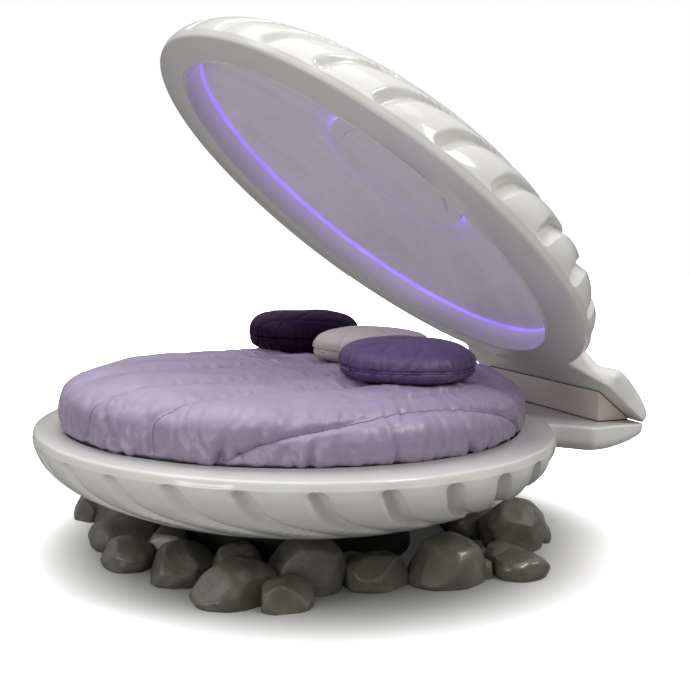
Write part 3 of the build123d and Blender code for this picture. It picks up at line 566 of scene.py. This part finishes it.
# Ceiling and medallion: mother-of-pearl lacquer, with long soft streaks that lie along the
# # bed and a clear coat that mirrors the cove. A faint pale violet glow is painted into it, in
# # place of the cove's light falling on them.
pearl, tree, shader, place = new_paint("ceiling_pearl", {
    "Roughness": 0.28, "Metallic": 0.12, "Coat Weight": 0.8, "Coat Roughness": 0.08,
    "Emission Color": (0.80, 0.74, 0.96, 1.0), "Emission Strength": 0.07})
stretch = add_node(tree, "ShaderNodeMapping", {
    "Vector": place.outputs["Object"], "Rotation": (0.0, 0.0, radians(24.0)),
    "Scale": (4.2, 1.1, 3.0)})
streak = add_noise(tree, stretch, 1.6, detail=7.0, roughness=0.62, distortion=0.9)
set_inputs(shader, {
    "Base Color": add_ramp(tree, streak.outputs["Fac"], (0.3, (0.76, 0.735, 0.725)),
                           (0.72, (0.88, 0.86, 0.86)), (0.5, (0.82, 0.79, 0.80))),
    "Normal": add_bump(tree, streak, 0.12, 0.004).outputs["Normal"]})

ceiling_start, ceiling_rise, ceiling_thickness, ceiling_edge = 0.099, 0.133, 0.008, 0.01
ceiling_rows = ((0.0, 1.0), (0.16, 0.945), (0.3, 0.89), (0.58, 0.75), (0.82, 0.6), (0.95, 0.5),
                (1.0, 0.42), (1.0, 0.3), (1.0, 0.1))
ceiling_rings = [(ceiling_start + ceiling_rise * min(rise, 1.0), recess_wide * plan,
                  recess_long * plan, 0.0) for rise, plan in through_rows(ceiling_rows, 4)]
ceiling_back = [(depth + ceiling_thickness, wide + ceiling_edge, long + ceiling_edge, 0.0)
                for depth, wide, long, weight in ceiling_rings[::-1]]
ceiling = ring_mesh("ceiling_pearl_panel", ceiling_back + ceiling_rings, 192, 0.0, in_lid)
ceiling.data.shade_smooth()
ceiling.data.set_sharp_from_angle(angle=radians(50.0))
ceiling.data.materials.append(pearl)
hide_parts("ceiling_panel")
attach(ceiling, "bed")
paint_nodes(("medallion_ring", "medallion_disc"), pearl)

# Slatted base: pale plywood and pine, with grain along each piece.
wood, tree, shader, place = new_paint("frame_wood", {"Roughness": 0.55})
stretch = add_node(tree, "ShaderNodeMapping", {
    "Vector": place.outputs["Object"], "Scale": (1.2, 26.0, 26.0)})
grain = add_noise(tree, stretch, 4.0, detail=6.0)
set_inputs(shader, {"Base Color": add_ramp(tree, grain.outputs["Fac"], (0.0, (0.42, 0.26, 0.13)),
                                           (1.0, (0.68, 0.5, 0.3)))})
paint_nodes(("frame_ring", "middle_rail", "bearer_front", "bearer_back", "slats"), wood)

# Plinth: black painted board, almost hidden by the stones.
black, tree, shader, place = new_paint("plinth_black", {"Roughness": 0.7})
brush = add_noise(tree, place, 60.0)
set_inputs(shader, {"Base Color": add_ramp(tree, brush.outputs["Fac"],
                                           (0.0, (0.004, 0.004, 0.004)),
                                           (1.0, (0.012, 0.012, 0.011)))})
paint_nodes(("plinth_base", "plinth_wall", "plinth_top"), black)

# River stones: grey-brown, worn smooth, with fine pits, dark veins and a damp-looking film.
stone, tree, shader, place = new_paint("river_stone", {"Coat Roughness": 0.12})
patch = add_noise(tree, place, 7.0, detail=8.0, roughness=0.6)
tone = add_ramp(tree, patch.outputs["Fac"], (0.3, (0.10, 0.095, 0.08)),
                (0.72, (0.24, 0.235, 0.205)), (0.47, (0.13, 0.12, 0.10)))
warp = add_node(tree, "ShaderNodeVectorMath", {
    0: patch.outputs["Color"], 1: (0.35, 0.35, 0.35), 2: place.outputs["Object"]},
    operation="MULTIPLY_ADD")
vein = add_node(tree, "ShaderNodeTexVoronoi", {"Vector": warp.outputs["Vector"], "Scale": 5.0},
                feature="DISTANCE_TO_EDGE")
vein_line = add_spread(tree, vein.outputs["Distance"], (0.0, 0.012), (0.35, 0.0))
pits = add_noise(tree, place, 120.0, detail=5.0)
damp = add_noise(tree, place, 3.0)
set_inputs(shader, {
    "Base Color": add_blend(tree, vein_line, tone, (0.045, 0.04, 0.033, 1.0)),
    "Normal": add_bump(tree, pits, 0.35, 0.003).outputs["Normal"],
    "Coat Weight": add_spread(tree, damp.outputs["Fac"], (0.42, 0.62), (0.0, 0.7)),
    "Roughness": add_spread(tree, patch.outputs["Fac"], (0.0, 1.0), (0.26, 0.5))})

# Each stone fills the box of its CAD node: an uneven pebble, flat where it stands. Squareness,
# lumpiness and the directions of its worn facets differ from stone to stone.
stone_seed, facet_count, facet_tilt, facet_near, facet_spread = 7, 5, 0.7, 0.70, 0.16
facet_bulge, facet_curve, sunk_share = 0.28, 4.0, 0.45
noise.seed_set(stone_seed)
stone_names = sorted(name for name in frame["nodes"] if name.startswith("stone_"))
for index, name in enumerate(stone_names):
    low, high = (Vector(corner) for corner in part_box(name))
    seed = Vector((3.1 * index, 1.7 * index, 0.9 * index))
    square = 2.2 + 0.9 * noise.noise(seed)
    shape = bmesh.new()
    bmesh.ops.create_icosphere(shape, subdivisions=5, radius=1.0)
    for vertex in shape.verts:
        place = vertex.co.normalized()
        spread = sum(abs(part) ** square for part in place) ** (-1.0 / square)
        broad, small = noise.noise(place * 1.3 + seed), noise.noise(place * 3.1 + seed)
        vertex.co = place * spread * (1.0 + 0.09 * broad + 0.035 * small)
    for facet in range(facet_count):
        way = noise.random_unit_vector()
        way.z = abs(way.z) * facet_tilt
        way.normalize()
        limit = facet_near + facet_spread * noise.random()
        for vertex in shape.verts:
            over = vertex.co.dot(way) - limit
            if over > 0.0:
                vertex.co -= way * (over - facet_bulge * over / (1.0 + facet_curve * over))
    reach = [max(abs(vertex.co[axis]) for vertex in shape.verts) for axis in range(3)]
    middle, half = (low + high) / 2, (high - low) / 2
    for vertex in shape.verts:
        x, y, z = (vertex.co[axis] / reach[axis] for axis in range(3))
        rise = max(0.0, (z + sunk_share) / (1.0 + sunk_share))
        vertex.co = (middle.x + half.x * x, middle.y + half.y * y,
                     low.z + (high.z - low.z) * rise)
    mesh = bpy.data.meshes.new(name + "_pebble")
    shape.to_mesh(mesh)
    shape.free()
    mesh.shade_smooth()
    mesh.materials.append(stone)
    pebble = put_in_scene(name + "_pebble", mesh)
    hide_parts(name)
    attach(pebble, "bed")

# Mattress core: woven ticking over foam.
ticking, tree, shader, place = new_paint("mattress_ticking", {"Roughness": 0.85})
weave = add_node(tree, "ShaderNodeTexWave", {
    "Vector": place.outputs["Object"], "Scale": 90.0, "Distortion": 1.0})
set_inputs(shader, {"Base Color": add_ramp(tree, weave.outputs["Fac"], (0.0, (0.62, 0.61, 0.58)),
                                           (1.0, (0.74, 0.73, 0.7)))})
paint_nodes(("mattress_core",), ticking)

# Satin cloth of the quilt and the cushions: fine weave, a soft sheen that brightens at
# # grazing angles, painted shade that darkens steep faces and lifts faces that look up a little,
# # and small creases that the mesh is too coarse to hold.
shade_slopes, shade_gains = (0.2, 0.9), (0.68, 1.03)
satins = {}
for material_name, colour, shade, rough, sheen, specular in (
    ("quilt_satin", (0.45, 0.38, 0.54), (0.34, 0.275, 0.42), 0.36, 0.2, 0.6),
    ("cushion_dark_satin", (0.034, 0.002, 0.055), (0.009, 0.0006, 0.016), 0.42, 0.0, 0.12),
    ("cushion_cream_satin", (0.86, 0.77, 0.70), (0.78, 0.69, 0.63), 0.5, 0.1, 0.4),
    ("cushion_violet_satin", (0.16, 0.095, 0.27), (0.10, 0.06, 0.18), 0.42, 0.06, 0.5),
):
    satin, tree, shader, place = new_paint(material_name, {
        "Roughness": rough, "Sheen Weight": sheen, "Sheen Roughness": 0.35,
        "Specular IOR Level": specular, "Sheen Tint": (0.85, 0.8, 1.0, 1.0)})
    weave = add_noise(tree, place, 12.0, detail=6.0)
    tone = add_blend(tree, weave.outputs["Fac"], (*shade, 1.0), (*colour, 1.0))
    # Painted shade: the colour is scaled down on steep faces and up a little on faces that look
    # up.
    upright = add_node(tree, "ShaderNodeSeparateXYZ", {0: place.outputs["Normal"]})
    slope_shade = add_spread(tree, upright.outputs["Z"], shade_slopes, shade_gains)
    shaded_tone = add_node(tree, "ShaderNodeVectorMath", {0: tone, "Scale": slope_shade}, operation="SCALE")
    crease = add_noise(tree, place, 26.0, detail=3.0, distortion=0.8)
    fine = add_bump(tree, add_noise(tree, place, 700.0), 0.12, 0.0006)
    soft = add_bump(tree, crease, 0.5, 0.004)
    set_inputs(soft, {"Normal": fine.outputs["Normal"]})
    set_inputs(shader, {"Base Color": shaded_tone.outputs["Vector"],
                        "Normal": soft.outputs["Normal"]})
    satins[material_name] = satin

# Quilt. Five sewn lines run from front to back over the top and down both ends, and one more
# arches along the near side. The filling puffs up between them, the satin puckers along
# them, and at the hem it is gathered and creased into the well.
quilt_wide, quilt_long, quilt_high = 0.792, 0.810, 0.192
row_count, column_count = 176, 540
seam_places = (-0.64, -0.36, -0.05, 0.27, 0.51)
far_away = 9.0
# Rows of the outline: share of the height and of the plan.
profile = through_rows((
    (-0.13, 0.972), (-0.03, 0.984), (0.006, 0.997), (0.03, 1.008), (0.09, 1.013), (0.22, 1.017),
    (0.39, 1.018), (0.58, 1.008), (0.74, 0.977), (0.86, 0.922), (0.935, 0.85), (0.968, 0.76),
    (0.985, 0.6), (0.995, 0.4), (1.0, 0.2), (1.0, 0.03),
), 10)
# Rows of the side line: place along the bed and height.
side_rows = through_rows((
    (-0.47, -0.01), (-0.45, 0.008), (-0.417, 0.026), (-0.379, 0.049), (-0.328, 0.073),
    (-0.248, 0.096), (-0.102, 0.125), (0.0, 0.142), (0.14, 0.150), (0.32, 0.136),
    (0.50, 0.092), (0.60, 0.045), (0.66, 0.0),
), 5)
lengths = np.concatenate(([0.0], np.cumsum(np.hypot(
    np.diff(profile[:, 0]) * quilt_high, np.diff(profile[:, 1]) * quilt_wide))))
steps = np.linspace(0.0, lengths[-1], row_count)
rise = np.interp(steps, lengths, profile[:, 0]) * quilt_high
plan = np.interp(steps, lengths, profile[:, 1])
turns = np.arange(column_count) * 2 * pi / column_count
plan_grid, turn_grid = np.meshgrid(plan, turns, indexing="ij")
rise_grid = np.repeat(rise[:, None], column_count, axis=1)
quilt_x = quilt_wide * plan_grid * np.sin(turn_grid)
quilt_y = -quilt_long * plan_grid * np.cos(turn_grid)


def seam_bow(place, y):
    return place + 0.010 * np.sin(y * 4.0 + place * 7.0)


def side_line(y):
    return np.interp(y, side_rows[:, 0], side_rows[:, 1], left=-1.0, right=-1.0)


# Noise at each point of three grids. The third may be one number for all points.
def noise_grid(x, y, z):
    z = z + np.zeros_like(x)
    flat = [noise.noise(Vector(place)) for place in zip(x.ravel(), y.ravel(), z.ravel())]
    return np.array(flat).reshape(x.shape)


# Narrow valleys along the lines where a noise passes through nothing.
def valleys(field, narrowness):
    return (1.0 - np.abs(field) * narrowness).clip(0.0, 1.0)


nearest = np.full(quilt_x.shape, far_away)
for place in seam_places:
    nearest = np.minimum(nearest, np.abs(quilt_x - seam_bow(place, quilt_y)))
along_side = (quilt_x > 0.5) & (rise_grid < 0.172) & (side_line(quilt_y) > -0.02)
side_gap = np.abs(np.where(along_side, rise_grid - side_line(quilt_y), far_away))
closest = np.minimum(nearest, side_gap)
on_top = smooth_step((rise_grid - 0.14) / 0.035)
rear_share = smooth_step((quilt_y + 0.35) / 0.5)
hem = np.clip(1.0 - rise_grid / 0.165, 0.0, 1.0)
low_hem = np.clip(1.0 - rise_grid / 0.11, 0.0, 1.0)
around = turn_grid * 0.8
sway = around + 0.02 * noise_grid(around * 3.0, rise_grid * 9.0, 9.0)

# Filling between the seams, and the groove of each seam.
offset = 0.016 * (1.0 - np.exp(-(closest / 0.055) ** 2)) - 0.0085 * np.exp(-(closest / 0.010) ** 2)
# Puckers along the seams of the top, stronger to the rear, and along the side seam.
offset += np.exp(-nearest / 0.030) * on_top * (0.012 + 0.011 * rear_share) * noise_grid(
    quilt_x * 8.0, quilt_y * 42.0, 0.0)
offset += 0.0060 * np.exp(-side_gap / 0.034) * noise_grid(around * 46.0, rise_grid * 6.0, 1.0)
# Raised creases that cross the rear of the top, and slack cloth all over.
crossing = noise_grid(quilt_x * 2.5 + quilt_y * 1.5, quilt_y * 14.0 - quilt_x * 7.0, 4.0)
offset += 0.0085 * valleys(crossing, 10.0) ** 1.5 * on_top * rear_share
offset += 0.0060 * noise_grid(quilt_x * 3.6, quilt_y * 3.6, 6.0)
offset += 0.0055 * on_top * noise_grid(quilt_x * 9.0 + quilt_y * 4.0,
                                       quilt_y * 9.0 - quilt_x * 4.0, 2.0)
# Gathers above the hem and tucks in it.
folds = 0.0110 * noise_grid(sway * 12.0, rise_grid * 2.2, 3.0)
folds += 0.0085 * noise_grid(sway * 27.0, rise_grid * 4.0, 7.0)
offset += folds * hem ** 0.75
offset -= 0.012 * valleys(noise_grid(sway * 13.0, rise_grid * 4.0, 5.0), 6.0) ** 1.5 * low_hem
offset -= 0.006 * valleys(noise_grid(sway * 21.0, rise_grid * 7.0, 8.0), 5.0) ** 1.5 * (
    1.0 - on_top)
# Single deep folds: turn round the bed, slope, width, depth and the height where each ends.
hem_radius, roll_share, roll_place = 0.82, 0.35, 2.1
for fold_turn, slope, width, depth, top in (
    (0.565, -0.9, 0.016, 0.026, 0.125), (0.30, 0.3, 0.012, 0.016, 0.06),
    (0.62, 0.9, 0.012, 0.012, 0.05), (0.98, 0.25, 0.012, 0.020, 0.12),
    (1.30, 0.2, 0.012, 0.024, 0.115), (1.62, -0.1, 0.008, 0.012, 0.145),
    (1.97, -0.5, 0.018, 0.030, 0.085), (2.07, 0.6, 0.014, 0.024, 0.055),
    (2.42, -0.3, 0.02, 0.022, 0.08), (-0.30, 0.3, 0.014, 0.018, 0.07),
    (-0.9, 0.2, 0.02, 0.018, 0.08), (-1.6, -0.2, 0.02, 0.018, 0.09), (-2.4, 0.2, 0.02, 0.02, 0.08),
):
    turned = np.angle(np.exp(1j * (turn_grid - fold_turn - rise_grid * slope)))
    away = np.abs(turned) * hem_radius
    fade = smooth_step(1.0 - rise_grid / top)
    offset -= depth * fade * np.exp(-(away / width) ** 1.6)
    offset += depth * roll_share * fade * np.exp(-((away - roll_place * width) / width) ** 2)
# The hem itself stays where the well holds it.
offset = offset * smooth_step((steps[:, None] - 0.022) / 0.045) - 0.0045 * smooth_step(
    (steps[:, None] - 0.03) / 0.05)


# Moves the points of a grid of rows along its outward normals.
def puffed(grid, offset, middle_height):
    along = np.roll(grid, -1, axis=1) - np.roll(grid, 1, axis=1)
    upward = np.gradient(grid, axis=0)
    normal = np.cross(along, upward)
    normal /= np.linalg.norm(normal, axis=-1, keepdims=True) + 1e-9
    outward = np.stack((grid[..., 0], grid[..., 1], grid[..., 2] - middle_height), axis=-1)
    normal[np.sum(normal * outward, axis=-1) < 0] *= -1
    return grid + normal * offset[..., None]


# Smooth closed piece of satin from a grid of rows round an axis.
def satin_piece(name, grid, satin):
    ends = [grid[0].mean(axis=0).tolist(), grid[-1].mean(axis=0).tolist()]
    mesh = capped_mesh(name, grid.reshape(-1, 3).tolist() + ends, *grid.shape[:2])
    mesh.shade_smooth()
    mesh.materials.append(satin)
    return put_in_scene(name, mesh)


quilt_grid = puffed(np.stack((quilt_x, quilt_y, rise_grid), axis=-1), offset, -0.4)
quilt_grid[..., 2] += rim_height
quilt = satin_piece("satin_quilt", quilt_grid, satins["quilt_satin"])
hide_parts("quilt")
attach(quilt, "bedding")

# Stitches of the quilt: short threads set along every sewn line by a node tree, which takes
# the line's points, the distance between stitches and the thread's thickness.
hem_height = 0.004
# A sewn line is first a list of rows of the quilt's grid, with a turn round the bed for each.
seam_lines = []
for place in seam_places:
    rows = [row for row in range(row_count) if rise[row] > hem_height
            and plan[row] * quilt_wide > abs(place) * 1.012 + 0.004]
    front = [(row, float(np.arcsin(place / (quilt_wide * plan[row])))) for row in rows]
    whole = front + [(row, pi - turn) for row, turn in front[::-1]]
    seam_lines.append([(row, turn, place) for row, turn in whole])
side_path = []
for y in np.linspace(-0.455, 0.65, 150):
    height = float(side_line(np.array(y)))
    row = float(np.interp(height, rise, np.arange(row_count)))
    reach = float(np.interp(height, rise, plan)) * quilt_long
    if height > hem_height and abs(y) < reach:
        side_path.append((row, pi - float(np.arccos(y / reach)), None))
seam_lines.append(side_path)

steep_turn = 0.3
thread_curve = bpy.data.curves.new("seam_lines", "CURVE")
thread_curve.dimensions = "3D"
for line in seam_lines:
    points = []
    for row, turn, place in line:
        if place is not None:
            y = -quilt_long * plan[row] * cos(turn)
            lean = cos(turn) if abs(cos(turn)) > steep_turn else far_away
            turn = turn + (float(seam_bow(place, y)) - place) / (quilt_wide * plan[row] * lean)
        column = (turn % (2 * pi)) / (2 * pi) * column_count
        low_row, low_column = int(row), int(column) % column_count
        next_row, next_column = min(low_row + 1, row_count - 1), (low_column + 1) % column_count
        row_part, column_part = row - low_row, column - int(column)
        lower, upper = (quilt_grid[at_row, low_column] * (1 - column_part)
                        + quilt_grid[at_row, next_column] * column_part
                        for at_row in (low_row, next_row))
        points.append(lower * (1 - row_part) + upper * row_part)
    spline = thread_curve.splines.new("POLY")
    spline.points.add(len(points) - 1)
    for point, place in zip(spline.points, points):
        point.co = (*place, 1.0)

thread, tree, shader, place = new_paint("quilt_thread", {"Roughness": 0.6})
twist = add_noise(tree, place, 400.0)
set_inputs(shader, {"Base Color": add_ramp(tree, twist.outputs["Fac"], (0.0, (0.10, 0.06, 0.14)),
                                           (1.0, (0.20, 0.14, 0.27)))})
stitch_sizes = {"Spacing": 0.0085, "Stitch length": 0.0036, "Thickness": 0.0019}
tree = bpy.data.node_groups.new("stitches", "GeometryNodeTree")
tree.interface.new_socket("Seams", in_out="INPUT", socket_type="NodeSocketGeometry")
for name in stitch_sizes:
    tree.interface.new_socket(name, in_out="INPUT", socket_type="NodeSocketFloat")
tree.interface.new_socket("Thread", in_out="OUTPUT", socket_type="NodeSocketGeometry")
given = tree.nodes.new("NodeGroupInput").outputs
even = add_node(tree, "GeometryNodeCurveToPoints", {"Curve": given["Seams"],
                                                    "Length": given["Spacing"]}, mode="LENGTH")
stitch = add_node(tree, "GeometryNodeMeshUVSphere", {"Segments": 8, "Rings": 6, "Radius": 1.0})
size = add_node(tree, "ShaderNodeCombineXYZ", {
    "X": given["Thickness"], "Y": given["Thickness"], "Z": given["Stitch length"]})
copies = add_node(tree, "GeometryNodeInstanceOnPoints", {
    "Points": even.outputs["Points"], "Rotation": even.outputs["Rotation"],
    "Instance": stitch.outputs["Mesh"], "Scale": size.outputs["Vector"]})
real = add_node(tree, "GeometryNodeRealizeInstances", {"Geometry": copies.outputs["Instances"]})
painted = add_node(tree, "GeometryNodeSetMaterial", {"Geometry": real.outputs["Geometry"],
                                                     "Material": thread})
add_node(tree, "NodeGroupOutput", {"Thread": painted.outputs["Geometry"]})
seam_source = put_in_scene("seam_lines", thread_curve)
maker = seam_source.modifiers.new("stitches", "NODES")
maker.node_group = tree
for socket in tree.interface.items_tree:
    if socket.name in stitch_sizes:
        maker[socket.identifier] = stitch_sizes[socket.name]
graph = bpy.context.evaluated_depsgraph_get()
stitch_mesh = bpy.data.meshes.new_from_object(seam_source.evaluated_get(graph))
bpy.data.objects.remove(seam_source)
stitch_mesh.shade_smooth()
stitches = put_in_scene("quilt_stitches", stitch_mesh)
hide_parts("quilt")
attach(stitches, "bedding")

# Cushions: round and full, with a piped seam in the lower third. The satin is gathered into
# the seam, so radial creases start there and die out towards the crown.
seam_share, cushion_columns = 0.35, 360
# Rows: share of the radius and of the height.
cushion_rows = through_rows((
    (0.02, 0.004), (0.3, 0.0), (0.55, 0.0), (0.72, 0.02), (0.85, 0.075), (0.935, 0.15),
    (0.975, 0.235), (0.982, 0.30), (0.966, 0.328), (0.986, 0.340), (0.990, 0.350),
    (0.986, 0.360), (0.968, 0.372), (0.990, 0.400), (1.0, 0.46), (0.988, 0.57), (0.950, 0.68),
    (0.880, 0.785), (0.77, 0.87), (0.61, 0.94), (0.42, 0.98), (0.24, 0.997), (0.02, 1.0),
), 4)
out_grid, turn_grid = np.meshgrid(
    cushion_rows[:, 0], np.arange(cushion_columns) * 2 * pi / cushion_columns, indexing="ij")
up_grid = np.repeat(cushion_rows[:, 1][:, None], cushion_columns, axis=1)
round_x, round_y = np.cos(turn_grid) * 9.0, np.sin(turn_grid) * 9.0
for name, body, satin_name, slot, seed in (
    ("cushion_dark", "dark_cushion", "cushion_dark_satin", "cushion_aubergine", 3.0),
    ("cushion_cream", "cream_cushion", "cushion_cream_satin", "cushion_cream", 11.0),
    ("cushion_violet", "violet_cushion", "cushion_violet_satin", "cushion_violet", 23.0),
):
    low, high = (Vector(corner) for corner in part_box(name))
    middle, height, radius = (low + high) / 2, high.z - low.z, (high.x - low.x) / 2
    x, y = radius * out_grid * np.cos(turn_grid), radius * out_grid * np.sin(turn_grid)
    from_seam = np.abs(up_grid - seam_share) * height
    offset = 0.0085 * np.exp(-from_seam / 0.034) * noise_grid(
        round_x * 2.3 + seed, round_y * 2.3, up_grid * 1.2)
    offset *= smooth_step((np.abs(up_grid - seam_share) - 0.02) / 0.06)
    offset += 0.0050 * np.exp(-from_seam / 0.055) * noise_grid(
        round_x * 0.8 + seed, round_y * 0.8, up_grid * 2.0)
    offset += 0.009 * noise_grid(x * 6.0 + seed, y * 6.0, up_grid * 1.5)
    offset -= 0.004 * valleys(noise_grid(x * 9.0 + seed, y * 5.0, up_grid + seed), 5.0) ** 2
    offset = offset * smooth_step(up_grid / 0.15) - 0.002
    grid = puffed(np.stack((x, y, height * up_grid), axis=-1), offset, height * 0.4)
    grid += np.array((middle.x, middle.y, low.z))
    cushion = satin_piece(name + "_satin", grid, satins[satin_name])
    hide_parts(name)
    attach(cushion, body)
